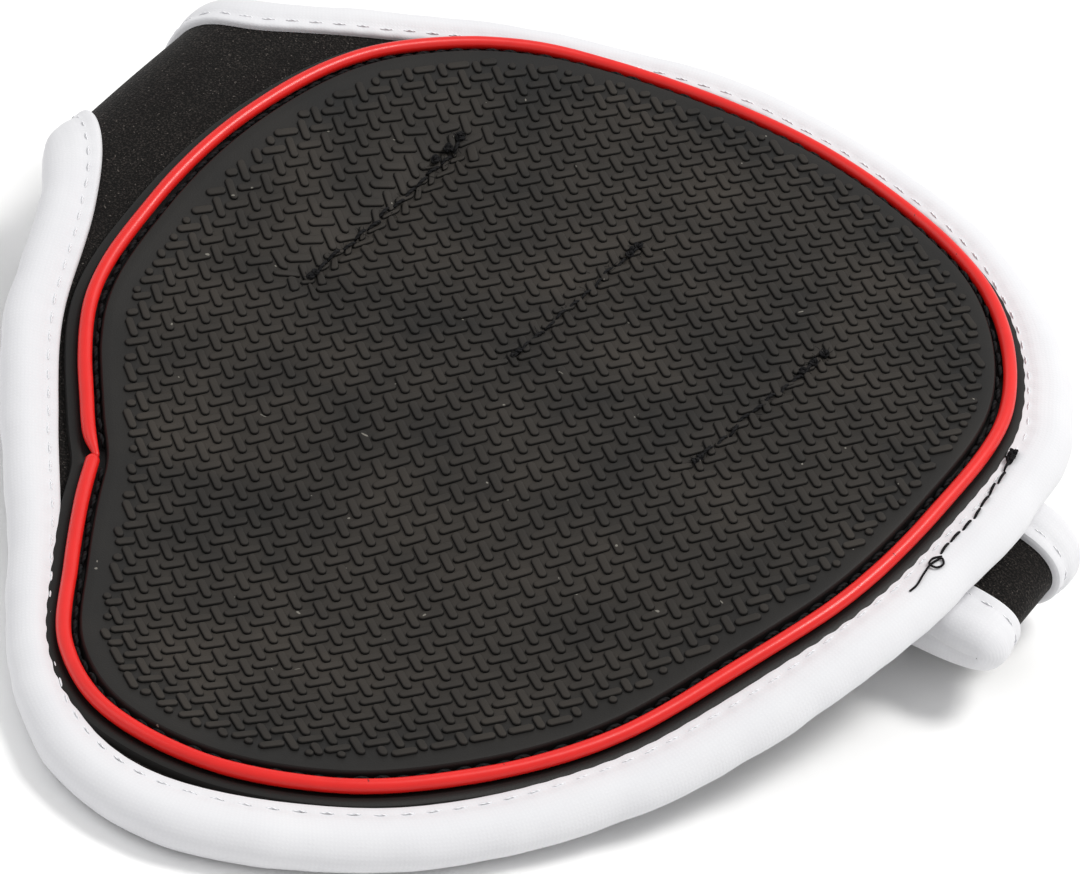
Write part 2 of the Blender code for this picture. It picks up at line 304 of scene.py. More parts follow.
# a mesh from quads and caps, faces outward, with the flat pattern in mm as its UV map, and rim marks, which
# below zero are painted shade at the bars' feet
def makePiece(name, points, quads, material, caps=(), flat=None, marks=None, creaseAngle=0.6):
    points = points.reshape(-1, 3) + seat
    if volumeOf(points, quads) < 0:
        quads = quads[:, ::-1]
        caps = [cap[::-1] for cap in caps]
    mesh = bpy.data.meshes.new(name)
    mesh.from_pydata(points.tolist(), [], quads.tolist() + [list(map(int, cap)) for cap in caps])
    mesh.update()
    mesh.shade_smooth()
    mesh.set_sharp_from_angle(angle=creaseAngle)
    if flat is not None:
        corners = np.empty(len(mesh.loops), np.int32)
        mesh.loops.foreach_get("vertex_index", corners)
        places = flat.reshape(-1, 2)[corners].astype(np.float32)
        mesh.uv_layers.new(name="flat").uv.foreach_set("vector", places.ravel())
    if marks is not None:
        rim = mesh.attributes.new("rim", "FLOAT", "POINT")
        rim.data.foreach_set("value", marks.astype(np.float32).ravel())
    mesh.materials.append(material)
    piece = bpy.data.objects.new(name, mesh)
    bpy.context.scene.collection.objects.link(piece)
    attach(piece, "root")
    print(name, len(mesh.polygons), "faces")
    return piece


# Shader helpers: inputs are sockets to link or plain values
def addNode(tree, kind, settings=None, **values):
    node = tree.nodes.new(kind)
    for key, value in (settings or {}).items():
        setattr(node, key, value)
    for key, value in values.items():
        socket = node.inputs[int(key[1:])] if key[0] == "i" and key[1:].isdigit() else node.inputs[key]
        if isinstance(value, bpy.types.NodeSocket):
            tree.links.new(value, socket)
        else:
            socket.default_value = value
    return node


def mathNode(tree, operation, *values):
    node = tree.nodes.new("ShaderNodeMath")
    node.operation = operation
    for socket, value in zip(node.inputs, values):
        if isinstance(value, bpy.types.NodeSocket):
            tree.links.new(value, socket)
        else:
            socket.default_value = value
    return node.outputs[0]


def startGroup(name, inputs, outputs):
    tree = bpy.data.node_groups.new(name, "ShaderNodeTree")
    for label, kind, value in inputs:
        socket = tree.interface.new_socket(label, in_out="INPUT", socket_type=kind)
        if value is not None:
            socket.default_value = value
    for label, kind in outputs:
        tree.interface.new_socket(label, in_out="OUTPUT", socket_type=kind)
    return tree, tree.nodes.new("NodeGroupInput").outputs, tree.nodes.new("NodeGroupOutput").inputs


# knitted face: columns of slanted loops, |sin| across times a wave along that leans to and fro
def knitGroup():
    tree, given, out = startGroup(
        "knitFace",
        [("Flat", "NodeSocketVector", None),
         ("Loop", "NodeSocketFloat", 0.5),
         ("Lean", "NodeSocketFloat", 0.35)],
        [("Height", "NodeSocketFloat")])
    split = addNode(tree, "ShaderNodeSeparateXYZ", Vector=given["Flat"])
    along = mathNode(tree, "DIVIDE", split.outputs["X"], given["Loop"])
    across = mathNode(tree, "DIVIDE", split.outputs["Y"], given["Loop"])
    saw = mathNode(tree, "PINGPONG", across, 0.5)
    leaning = mathNode(tree, "MULTIPLY_ADD", saw, given["Lean"], along)
    loops = mathNode(tree, "SINE", mathNode(tree, "MULTIPLY", leaning, 2 * np.pi))
    ribs = mathNode(tree, "ABSOLUTE", mathNode(tree, "SINE", mathNode(tree, "MULTIPLY", across, np.pi)))
    height = mathNode(tree, "MULTIPLY", mathNode(tree, "MULTIPLY_ADD", loops, 0.5, 0.5), ribs)
    tree.links.new(height, out["Height"])
    return tree


# uneven tone: two sizes of noise, put out as a grey around 0.5 and a rough fine height
def mottleGroup():
    tree, given, out = startGroup(
        "mottle",
        [("Place", "NodeSocketVector", None),
         ("Patch", "NodeSocketFloat", 60.0),
         ("Grain", "NodeSocketFloat", 2500.0)],
        [("Tone", "NodeSocketFloat"), ("Grit", "NodeSocketFloat")])
    patch = addNode(tree, "ShaderNodeTexNoise", Vector=given["Place"], Scale=given["Patch"], Detail=4.0,
                    Roughness=0.6)
    grain = addNode(tree, "ShaderNodeTexNoise", Vector=given["Place"], Scale=given["Grain"], Detail=2.0)
    tree.links.new(patch.outputs["Fac"], out["Tone"])
    tree.links.new(grain.outputs["Fac"], out["Grit"])
    return tree


# specks and fibres: 1 nearer to the middle of a warped cell than a share of the cells' size, else 0
def fibreGroup():
    tree, given, out = startGroup(
        "loose fibres",
        [("Place", "NodeSocketVector", None),
         ("Scale", "NodeSocketFloat", 900.0),
         ("Share", "NodeSocketFloat", 0.06)],
        [("Mask", "NodeSocketFloat")])
    warp = addNode(tree, "ShaderNodeTexNoise", Vector=given["Place"], Scale=300.0, Detail=1.0)
    bent = addNode(tree, "ShaderNodeVectorMath", {"operation": "MULTIPLY_ADD"}, i0=warp.outputs["Color"],
                   i1=(0.004, 0.004, 0.004), i2=given["Place"])
    cells = addNode(tree, "ShaderNodeTexVoronoi", Vector=bent.outputs[0], Scale=given["Scale"])
    mask = mathNode(tree, "LESS_THAN", cells.outputs["Distance"], given["Share"])
    tree.links.new(mask, out["Mask"])
    return tree


knitFace = knitGroup()
mottle = mottleGroup()
looseFibres = fibreGroup()


def startMaterial(name, roughness, sheen=0.0, coat=0.0):
    material = bpy.data.materials.new(name)
    material.use_nodes = True
    tree = material.node_tree
    shader = tree.nodes["Principled BSDF"]
    shader.inputs["Roughness"].default_value = roughness
    shader.inputs["Sheen Weight"].default_value = sheen
    shader.inputs["Sheen Roughness"].default_value = 0.5
    shader.inputs["Coat Weight"].default_value = coat
    shader.inputs["Coat Roughness"].default_value = 0.12
    place = tree.nodes.new("ShaderNodeTexCoord").outputs
    return material, tree, shader, place


def placeGroup(tree, group, **values):
    node = tree.nodes.new("ShaderNodeGroup")
    node.node_tree = group
    for key, value in values.items():
        if isinstance(value, bpy.types.NodeSocket):
            tree.links.new(value, node.inputs[key])
        else:
            node.inputs[key].default_value = value
    return node.outputs


# colour between two by a factor
def mixColour(tree, factor, dark, light):
    node = tree.nodes.new("ShaderNodeMix")
    node.data_type = "RGBA"
    for socket, value in ((node.inputs[0], factor), (node.inputs[6], dark), (node.inputs[7], light)):
        if isinstance(value, bpy.types.NodeSocket):
            tree.links.new(value, socket)
        else:
            socket.default_value = value
    return node.outputs[2]


# height of a surface as a bump on its normal
def addBump(tree, shader, height, strength, distance):
    bump = addNode(tree, "ShaderNodeBump", Strength=strength, Distance=distance, Height=height)
    tree.links.new(bump.outputs["Normal"], shader.inputs["Normal"])


def rubberMaterial():
    look = {
        "dark": (0.012, 0.0112, 0.0103, 1),
        "light": (0.037, 0.0313, 0.0258, 1),
        "smooth": (0.007, 0.007, 0.007, 1),    # the border without bars
        "dust": (0.16, 0.15, 0.13, 1),
        # painted shade: near black, for the shaded foot of a bar
        "paintedFootShade": (0.002, 0.002, 0.002, 1),      # the shaded foot of a bar
    }
    material, tree, shader, place = startMaterial("palmRubber", 0.6)
    shader.inputs["Specular IOR Level"].default_value = 0.20
    tone = placeGroup(tree, mottle, Place=place["Object"], Patch=70.0, Grain=5200.0)
    rim = addNode(tree, "ShaderNodeAttribute", {"attribute_name": "rim"}).outputs["Fac"]
    spread = mathNode(tree, "MULTIPLY_ADD", tone["Tone"], 2.2, -0.65)
    colour = mixColour(tree, spread, look["dark"], look["light"])
    colour = mixColour(tree, mathNode(tree, "MAXIMUM", rim, 0.0), colour, look["smooth"])
    specks = placeGroup(tree, looseFibres, Place=place["Object"], Scale=260.0, Share=0.045)
    colour = mixColour(tree, specks["Mask"], colour, look["dust"])
    # painted shade: below zero the rim attribute marks the bars' lowest rings, which turn near black for
    # the shade at their feet
    paintedFootShade = mathNode(tree, "MAXIMUM", mathNode(tree, "MULTIPLY", rim, -1.0), 0.0)
    tree.links.new(mixColour(tree, paintedFootShade, colour, look["paintedFootShade"]), shader.inputs["Base Color"])
    rough = mathNode(tree, "MULTIPLY_ADD", rim, -0.22, 0.62)
    tree.links.new(mathNode(tree, "MULTIPLY_ADD", tone["Grit"], 0.12, rough), shader.inputs["Roughness"])
    addBump(tree, shader, tone["Grit"], 0.35, 0.06 * mm)
    return material


def neopreneMaterial():
    look = {
        "dark": (0.0035, 0.003, 0.0027, 1),
        "light": (0.046, 0.039, 0.035, 1),
        "fleck": (0.085, 0.074, 0.066, 1),
    }
    material, tree, shader, place = startMaterial("blackNeoprene", 0.92, sheen=0.04)
    shader.inputs["Specular IOR Level"].default_value = 0.12
    knit = placeGroup(tree, knitFace, Flat=place["UV"], Loop=0.55, Lean=0.6)
    tone = placeGroup(tree, mottle, Place=place["Object"], Patch=160.0, Grain=4600.0)
    grain = mathNode(tree, "MULTIPLY_ADD", tone["Grit"], 6.0, -3.05)
    # painted shade: the knit's height is added to the grain flecks, so the loops are lighter and the
    # hollows between them darker
    grainAndKnitShade = mathNode(tree, "MULTIPLY_ADD", knit["Height"], 0.2, grain)
    grainAndKnitShade = mathNode(tree, "MAXIMUM", mathNode(tree, "MINIMUM", grainAndKnitShade, 1.0), 0.0)
    colour = mixColour(tree, mathNode(tree, "MULTIPLY", grainAndKnitShade, tone["Tone"]), look["dark"], look["light"])
    flecks = placeGroup(tree, looseFibres, Place=place["Object"], Scale=1500.0, Share=0.19)
    seen = mathNode(tree, "MULTIPLY", flecks["Mask"], mathNode(tree, "GREATER_THAN", tone["Grit"], 0.53))
    colour = mixColour(tree, seen, colour, look["fleck"])
    tree.links.new(colour, shader.inputs["Base Color"])
    height = mathNode(tree, "MULTIPLY_ADD", knit["Height"], 0.3, tone["Grit"])
    addBump(tree, shader, height, 0.8, 0.12 * mm)
    return material


def tapeMaterial():
    look = {"dark": (0.62, 0.62, 0.645, 1), "light": (0.715, 0.715, 0.73, 1)}
    material, tree, shader, place = startMaterial("whiteTape", 0.85, sheen=0.15)
    knit = placeGroup(tree, knitFace, Flat=place["UV"], Loop=0.42, Lean=0.8)
    tone = placeGroup(tree, mottle, Place=place["Object"], Patch=90.0, Grain=3000.0)
    # painted shade: the knit's loops are lighter and the hollows between them darker
    loops = mathNode(tree, "MULTIPLY", knit["Height"], 0.2)
    factor = mathNode(tree, "MULTIPLY_ADD", tone["Tone"], 0.8, loops)
    tree.links.new(mixColour(tree, factor, look["dark"], look["light"]), shader.inputs["Base Color"])
    height = mathNode(tree, "MULTIPLY_ADD", knit["Height"], 0.35, tone["Grit"])
    addBump(tree, shader, height, 0.3, 0.07 * mm)
    return material


def beadMaterial():
    look = {
        "dark": (0.60, 0.007, 0.005, 1),
        "light": (0.76, 0.013, 0.009, 1),
        "nick": (0.25, 0.006, 0.006, 1),
    }
    material, tree, shader, place = startMaterial("redBead", 0.34, coat=0.1)
    shader.inputs["Specular IOR Level"].default_value = 0.35
    tone = placeGroup(tree, mottle, Place=place["Object"], Patch=220.0, Grain=1800.0)
    colour = mixColour(tree, tone["Tone"], look["dark"], look["light"])
    nicks = placeGroup(tree, looseFibres, Place=place["Object"], Scale=420.0, Share=0.05)
    tree.links.new(mixColour(tree, nicks["Mask"], colour, look["nick"]), shader.inputs["Base Color"])
    tree.links.new(mathNode(tree, "MULTIPLY_ADD", tone["Grit"], 0.2, 0.26), shader.inputs["Roughness"])
    addBump(tree, shader, tone["Tone"], 0.25, 0.15 * mm)
    return material


# twisted thread: ridges that climb round it, a sine of turns along u plus turns round v. The colour follows
# the ridges, lighter on them and darker in the grooves between: painted shade
def threadMaterial(name, dark, light, roughness):
    material, tree, shader, place = startMaterial(name, roughness)
    shader.inputs["Specular IOR Level"].default_value = 0.15
    split = addNode(tree, "ShaderNodeSeparateXYZ", Vector=place["UV"])
    around = mathNode(tree, "MULTIPLY", split.outputs["Y"], 2.0)
    climb = mathNode(tree, "MULTIPLY_ADD", split.outputs["X"], 1.6, around)
    wave = mathNode(tree, "SINE", mathNode(tree, "MULTIPLY", climb, 2 * np.pi))
    ridge = mathNode(tree, "MULTIPLY_ADD", wave, 0.5, 0.5)
    # painted shade: darker in the twist's grooves, lighter on its ridges
    tree.links.new(mixColour(tree, ridge, dark, light), shader.inputs["Base Color"])
    addBump(tree, shader, ridge, 0.8, 0.08 * mm)
    return material


rubberLook = rubberMaterial()
neopreneLook = neopreneMaterial()
tapeLook = tapeMaterial()
beadLook = beadMaterial()
blackThread = threadMaterial("blackThread", (0.0015, 0.0015, 0.0018, 1), (0.008, 0.0075, 0.0085, 1), 0.75)
whiteThread = threadMaterial("whiteThread", (0.70, 0.70, 0.73, 1), (0.88, 0.88, 0.90, 1), 0.7)
print("materials ready")


# Cloth base: a grid of rows from under the fold to the far side, top and underside joined at the edges
clothMesh = {"foldRows": 60, "flatRows": 170, "across": 110, "crowding": 1.5}    # of rows at the far side


# place across of the cloth's edge on one side, a cubic through the outline's rows
def outlineOf(side, along):
    rows = columnOf(outlineColumns, outlineRows, "along")
    return pad["width"] * smoothCurve(rows, columnOf(outlineColumns, outlineRows, side), along)


# ends of the cloth's rows on both edges: even round the fold, then closer towards the far side
def clothRows(foldRows, flatRows):
    bend = (bendLine + foldShift(pad["foldMiddle"])) / pad["length"] + 0.5
    around = np.linspace(bend - pad["foldLength"] / pad["length"], bend, foldRows)[:-1]
    flat = 1 - (1 - np.linspace(0, 1, flatRows)) ** clothMesh["crowding"]
    along = np.concatenate([around, bend + (1 - bend) * flat])
    x = (along - 0.5) * pad["length"]
    return np.stack([x, outlineOf("front", along)], axis=1), np.stack([x, outlineOf("back", along)], axis=1)


# two ends of a run of sections with the same number of points, as faces
def endCaps(rows, columns):
    return [np.arange(columns), (rows - 1) * columns + np.arange(columns)[::-1]]


# a sheet as a closed tube: each section goes across the top and back underneath, half a thickness off
def sheetPiece(name, surface, u, v, thickness, material):
    top = lifted(surface, u, v, np.full(u.shape, thickness / 2))
    bottom = lifted(surface, u, v, np.full(u.shape, -thickness / 2))
    points = np.concatenate([top, bottom[:, ::-1]], axis=1)
    size = points.shape[:2]
    flat = np.stack([u, v], axis=-1) / mm
    flat = np.concatenate([flat, flat[:, ::-1]], axis=1)
    quads = gridQuads(*size, closeColumns=True)
    return makePiece(name, points, quads, material, endCaps(*size), flat)


front, back = clothRows(clothMesh["foldRows"], clothMesh["flatRows"])
share = np.linspace(0, 1, clothMesh["across"] + 1)[:, None]
places = front[:, None] + (back - front)[:, None] * share
palmCloth = sheetPiece("palmCloth", padSurface, places[..., 0], places[..., 1], pad["cloth"], neopreneLook)
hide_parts("palm_panel")


# Folded tape. Its sections are outward distances from the cloth's edge and heights from its middle
tape = {
    "slot": 1.22 * mm,         # half the slot that holds the cloth, and how far it reaches past the edge
    "slotEnd": 0.3 * mm,
    "seamIn": 0.36,            # the stitch line, as a share of the cover from the inner edge
    "seamDip": 0.24 * mm,
    "seamDipWidth": 0.85 * mm,
    "pucker": 0.10 * mm,
    "pitch": 2.7 * mm,         # stitch length
    "flange": 0.30 * mm,       # fall towards the inner edge, over a share of the cover
    "flangeShare": 0.22,
    "lip": 0.45 * mm,          # round of the inner edge
    "lipWidth": 0.10 * mm,
    "bulge": 0.10,             # how much fuller than an ellipse the outside is
    "unevenTop": (0.06 * mm, 19 * mm),    # height and length of its slow waves
    "unevenReach": (0.05, 13 * mm),
    "strapCover": 4.6 * mm,
    "farMiddle": 0.0975,       # where the far side's front half meets its back half
    "coverColumns": ("along", "front", "back"),
    "coverRows": (             # how far the tape reaches in over the cloth, in mm
        (-0.20, 3.8, 3.8),
        (0.00, 3.8, 3.4),
        (0.09, 3.6, 2.6),
        (0.18, 3.4, 2.2),
        (0.27, 3.0, 2.2),
        (0.36, 2.4, 2.3),
        (0.47, 2.3, 2.5),
        (0.58, 3.4, 2.5),
        (0.67, 4.6, 2.5),
        (0.76, 4.4, 2.6),
        (0.85, 3.7, 3.0),
        (0.94, 3.6, 4.0),
        (1.00, 3.7, 3.9),
    ),
}


# heights: reach, less a Gaussian dip at the stitch line and a fall at the inner edge; an ellipse outside
def tapeSection(cover, run, seed):
    seamAt = -cover * (1 - tape["seamIn"])
    across = np.concatenate([[0, 0.012, 0.04, 0.09], np.linspace(0.16, 1.0, 15)])
    outward = -cover[:, None] * (1 - across)
    fromEdge = outward + cover[:, None]
    dip = tape["seamDip"] * np.exp(-((outward - seamAt[:, None]) / tape["seamDipWidth"]) ** 2)
    stitch = (0.5 + 0.5 * np.cos(2 * np.pi * run / tape["pitch"]))[:, None]
    flange = tape["flange"] * np.exp(-(fromEdge / (tape["flangeShare"] * cover[:, None])) ** 2)
    lip = tape["lip"] * np.exp(-fromEdge / tape["lipWidth"])
    top = pad["tapeReach"] - dip - flange - lip - tape["pucker"] * stitch * dip / tape["seamDip"]
    high, wave = tape["unevenTop"]
    top = top + high * wander(run, wave, seed)[:, None] * across
    turns = np.linspace(90, -90, 15)[1:-1] * np.pi / 180
    wide, wave = tape["unevenReach"]
    reach = pad["tapeReach"] * (1 + wide * wander(run, wave, seed + 1))[:, None]
    roundOut = reach * np.cos(turns) * (1 + tape["bulge"] * np.cos(turns) ** 2)
    roundUp = top[:, -1:] * np.sin(turns)
    slotEnd = tape["slotEnd"] + 0 * cover
    slotOut = np.stack([-cover, slotEnd, slotEnd, -cover], axis=1)
    slotUp = np.array([-1, -1, 1, 1]) * tape["slot"] + 0 * slotOut
    outs = np.concatenate([outward, roundOut, outward[:, ::-1], slotOut], axis=1)
    ups = np.concatenate([top, roundUp, -top[:, ::-1], slotUp], axis=1)
    return outs, ups


# length across the tape, measured round its section, for the knit
def aroundOf(outs, ups):
    steps = np.hypot(np.diff(outs, axis=1), np.diff(ups, axis=1))
    return np.concatenate([np.zeros((len(outs), 1)), np.cumsum(steps, axis=1)], axis=1)


# a tape from its sections, each point lifted off the cloth's surface by its height
def tapePiece(name, surface, u, v, outs, ups, run):
    points = lifted(surface, u, v, ups)
    flat = np.stack([run[:, None] + 0 * outs, aroundOf(outs, ups)], axis=-1) / mm
    quads = gridQuads(*outs.shape, closeColumns=True)
    return makePiece(name, points, quads, tapeLook, endCaps(*outs.shape), flat)


farShare = np.linspace(0, 1, 30)[1:-1, None]
edgeCorners = np.concatenate([front, front[-1] + (back[-1] - front[-1]) * farShare, back[::-1]])
edgePath = evenPath(edgeCorners, 1100)
edgePath = np.stack([blurred(edgePath[:, axis], 8, False) for axis in range(2)], axis=1)
edgeRun = runOf(edgePath)
edgeOut = outwardOf(edgePath, False)
edgeAlong = edgePath[:, 0] / pad["length"] + 0.5


# how far the tape covers the cloth on one side, by the table
def coverOf(side):
    table = (tape["coverColumns"], tape["coverRows"])
    return smoothCurve(columnOf(*table, "along"), columnOf(*table, side), edgeAlong) * mm


isBack = edgePath[:, 1] > tape["farMiddle"] * pad["width"]
edgeCover = blurred(np.where(isBack, coverOf("back"), coverOf("front")), 25, False)
edgeOuts, edgeUps = tapeSection(edgeCover, edgeRun, 11)
edgePlaces = edgePath[:, None, :] + edgeOut[:, None, :] * edgeOuts[..., None]
edgeTape = tapePiece("edgeTape", padSurface, edgePlaces[..., 0], edgePlaces[..., 1], edgeOuts, edgeUps,
                     edgeRun)
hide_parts("edge_binding")


strap = {
    "step": 2 * mm,            # length that stands for one point of the line
    "fine": 7,
    "across": 26,
    "start": 0.0064,           # past the bend line, along
    "turnPast": 0.02,          # where the last loop turns, past the last seam
    "tuck": 0.03,
    "middle": 0.145,
    "skew": 0.13,              # the last loop leans across, from skewFrom on over skewOver
    "skewFrom": 0.80,
    "skewOver": 0.15,
    "clear": 0.25 * mm,
    "foldTill": 0.16,          # up to here it follows the fold's shift
    "foldFade": 0.08,
    "lastLift": 3.9 * mm,      # the last loop is held off the floor, more so in front
    "lastTilt": -0.12,
    "liftFrom": 0.84,
    "liftOver": 0.10,
}


# Strap: a middle line of along and rise, 0 on the floor and 1 at a seam, as the solids have it
def strapPath():
    start = bendLine / pad["length"] + 0.5 + strap["start"]
    first = np.linspace(start, strapSeams[0], 12)
    share = np.clip((first - start) / (strapSeams[0] - start) * 2 - 1, 0, 1)
    parts = [np.stack([first, (1 - np.cos(np.pi * share)) / 2], axis=1)]
    for here, there in zip(strapSeams[:-1], strapSeams[1:]):
        share = np.linspace(0, 1, 12)[1:]
        parts.append(np.stack([here + (there - here) * share, (1 + np.cos(2 * np.pi * share)) / 2], axis=1))
    turnLine = lastSeam + strap["turnPast"]
    share = np.linspace(0, 1, 11)[1:]
    rise = (1 + np.cos(np.pi * np.clip(share * 2, 0, 1))) / 2
    parts.append(np.stack([strapSeams[-1] + (turnLine - strapSeams[-1]) * share, rise], axis=1))
    turn = np.linspace(-90, 90, 8)[1:] * np.pi / 180
    reach = pad["rollReach"] / pad["length"]
    parts.append(np.stack([turnLine + reach * np.cos(turn), (1 + np.sin(turn)) / 2], axis=1))
    parts.append(np.array([[turnLine - strap["tuck"], 1.0], [turnLine - 2 * strap["tuck"], 1.0]]))
    return np.concatenate(parts)


strapLine = strapPath()


# middle of the strap: level on the floor, and tilted as the pad is at its seams, by its rise
def strapSurface(station, y):
    at = np.arange(len(strapLine))
    station, y = np.broadcast_arrays(station / strap["step"], y)
    along = smoothCurve(at, strapLine[:, 0], station.ravel()).reshape(y.shape)
    rise = np.clip(smoothCurve(at, strapLine[:, 1], station.ravel()), 0, 1).reshape(y.shape)
    skewed = np.clip((along - strap["skewFrom"]) / strap["skewOver"], 0, 1)
    lean = strap["skew"] * skewed * (y - pad["width"] * strap["middle"])
    x = (along - 0.5) * pad["length"] - lean
    last = (lastSeam - 0.5) * pad["length"] - lean
    under = halfCloth + (pad["tapeReach"] - halfCloth) * skewed
    inside = np.minimum(x, last)
    seamLevel = lieHeight(inside, y) - seamDent(inside, y) - under - pad["tapeReach"] - strap["clear"]
    start = np.clip((strap["foldTill"] - along) / strap["foldFade"], 0, 1)
    lift = strap["lastLift"] + strap["lastTilt"] * (y - pad["width"] * strap["middle"])
    low = pad["tapeReach"] + lift * np.clip((along - strap["liftFrom"]) / strap["liftOver"], 0, 1)
    return np.stack([x + foldShift(y) * start, y, low + rise * (seamLevel - low)], axis=-1)


# places across of the strap's edges: a cubic for the front one, and a width that narrows to the second seam
def strapEdges(station):
    along = smoothCurve(np.arange(len(strapLine)), strapLine[:, 0], station)
    rows = columnOf(strapColumns, strapRows, "along")
    front = pad["width"] * smoothCurve(rows, columnOf(strapColumns, strapRows, "front"), along)
    fold = bendLine / pad["length"] + 0.5
    narrowing = np.clip((along - fold) / (strapSeams[1] - fold), 0, 1)
    return front, front + pad["strapStart"] + (pad["strapEnd"] - pad["strapStart"]) * narrowing


strapStations = np.linspace(-0.35, len(strapLine) - 1, (len(strapLine) - 1) * strap["fine"] + 1)
strapFront, strapBack = strapEdges(strapStations)
strapU = np.repeat(strapStations[:, None] * strap["step"], strap["across"] + 1, axis=1)
strapV = strapFront[:, None] + (strapBack - strapFront)[:, None] * np.linspace(0, 1, strap["across"] + 1)
strapCloth = sheetPiece("strapCloth", strapSurface, strapU, strapV, pad["cloth"], neopreneLook)
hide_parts("finger_strap")


# the tape along one edge of the strap
def strapTape(name, edge, outside, node, seed):
    middle = strapSurface(strapStations * strap["step"], edge)
    run = runOf(middle)
    outs, ups = tapeSection(np.full(len(edge), tape["strapCover"]), run, seed)
    u = np.repeat(strapStations[:, None] * strap["step"], outs.shape[1], axis=1)
    piece = tapePiece(name, strapSurface, u, edge[:, None] + outside * outs, outs, ups, run)
    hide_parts(node)
    return piece


strapTape("strapTapeFront", strapFront, -1, "strap_binding_front", 21)
strapTape("strapTapeBack", strapBack, 1, "strap_binding_back", 31)


# Rubber palm: rings from the middle out to the groove, the bead's seat, the lip and back underneath
palm = {
    "base": 1.22 * mm,         # height of its underside above the middle of the cloth
    "top": 3.70 * mm,
    "groove": 1.62 * mm,       # plateau edge from the bead's middle
    "grooveFloor": 2.30 * mm,
    "lip": 2.0 * mm,           # outer edge of the lip from the bead's middle
    "lipTop": 2.15 * mm,
    "beadSeat": 2.20 * mm,
    "around": 420,
    "rings": 70,
    "firstRing": 0.004,        # shares of the way from the middle to the groove
    "ringPower": 0.85,
    "smoothFrom": 0.89,        # where the colour turns to the smooth border's
    "smoothOver": 0.05,
    "smoothMark": 0.7,
    "rimColumns": ("from", "outward", "level", "up", "mark"),    # lengths in mm
    "rimRows": (
        ("groove", -1.20, "top", 0, 0.7),
        ("groove", -0.45, "top", 0, 0.7),
        ("groove", -0.18, "top", -0.06, 0.7),
        ("groove", -0.04, "top", -0.22, 0.85),
        ("groove", 0, "top", -0.5, 1),
        ("groove", 0.02, "grooveFloor", 0, 1),
        ("bead", -0.6, "beadSeat", 0, 1),
        ("bead", 0.8, "beadSeat", 0, 1),
        ("bead", 1.0, "lipTop", 0.12, 0.8),
        ("lip", -0.35, "lipTop", 0, 0.8),
        ("lip", -0.10, "lipTop", -0.16, 0.8),
        ("lip", 0, "lipTop", -0.5, 0.8),
        ("lip", 0, "base", 0, 0.8),
        ("groove", -0.8, "base", 0, 0),
    ),
}


# rings of the bead's shape, shrunk towards the middle, then carried over the rim by its table
def rubberPiece():
    line = evenPath(np.concatenate([rimPath, rimPath[:1]]), palm["around"] + 1)[:-1]
    out = outwardOf(line, True)
    for axis in range(2):
        out[:, axis] = blurred(out[:, axis], 3, True)
    starts = {"groove": -palm["groove"], "bead": 0, "lip": palm["lip"]}
    rim = [(starts[row["from"]] + row["outward"] * mm, palm[row["level"]] + row["up"] * mm, row["mark"])
           for row in namedRows(palm["rimColumns"], palm["rimRows"])]
    shares = np.linspace(0, 1, palm["rings"] + 1)[1:-1] ** palm["ringPower"]
    shares = np.concatenate([[palm["firstRing"]], shares])
    edge = line + out * rim[0][0]
    smooth = palm["smoothMark"] * np.clip((shares - palm["smoothFrom"]) / palm["smoothOver"], 0, 1)
    inside = [beadMiddle + (edge - beadMiddle) * share for share in shares]
    rings = [(ring, palm["top"], mark) for ring, mark in zip(inside, smooth)]
    rings += [(line + out * reach, height, mark) for reach, height, mark in rim]
    rings += [(ring, palm["base"], 0) for ring in inside[::-6]]
    flat = np.stack([ring for ring, _, _ in rings])
    height = np.repeat(np.array([level for _, level, _ in rings])[:, None], palm["around"], axis=1)
    marks = np.repeat(np.array([mark for _, _, mark in rings])[:, None], palm["around"], axis=1)
    points = lifted(padSurface, flat[..., 0], flat[..., 1], height)
    quads = gridQuads(*height.shape, closeColumns=True)
    caps = endCaps(*height.shape)
    piece = makePiece("rubberPalm", points, quads, rubberLook, caps, flat / mm, marks)
    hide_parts("rubber_palm")


rubberPiece()

# Raised bars: a checkerboard of bars along and across one direction, trimmed where the smooth border starts
bars = {
    "pitch": 2.1 * mm,         # from a bar's middle to the next bar's
    "turn": 58,                # direction of half of the bars, in degrees from +X
    "length": 2.80 * mm,
    "width": 0.90 * mm,
    "height": 0.30 * mm,
    "through": (13.30, 3.70),  # the middle of one bar that lies across, in mm on the flat pattern
    "border": 3.55 * mm,       # smooth strip from the bead's middle, on average
    "borderLean": 0.35 * mm,   # it is wider by this at the heel and the thumb side
    "shortest": 0.35 * mm,
    "sides": 10,
    "samples": 11,             # places along a bar where it is trimmed
    # the dark column is painted shade: the bar's lowest rings are coloured near black for the shade at its
    # foot
    "ringColumns": ("wider", "rise", "dark"),
    "rings": (                 # wider than the bar in mm, rise as a share of its height
        (0.07, -1 / 6, 1),
        (0.02, 0.35, 1),
        (-0.02, 0.80, 0.3),
        (-0.10, 0.98, 0),
        (-0.30, 1, 0),
    ),
}


# many alike closed forms in one mesh: faces and caps of the first, counted on for each of the others
def manyForms(count, rows, columns):
    start = np.arange(count)[:, None] * rows * columns
    quads = (start[:, :, None] + gridQuads(rows, columns, closeColumns=True)[None]).reshape(-1, 4)
    return quads, [cap for end in endCaps(rows, columns) for cap in start + end]
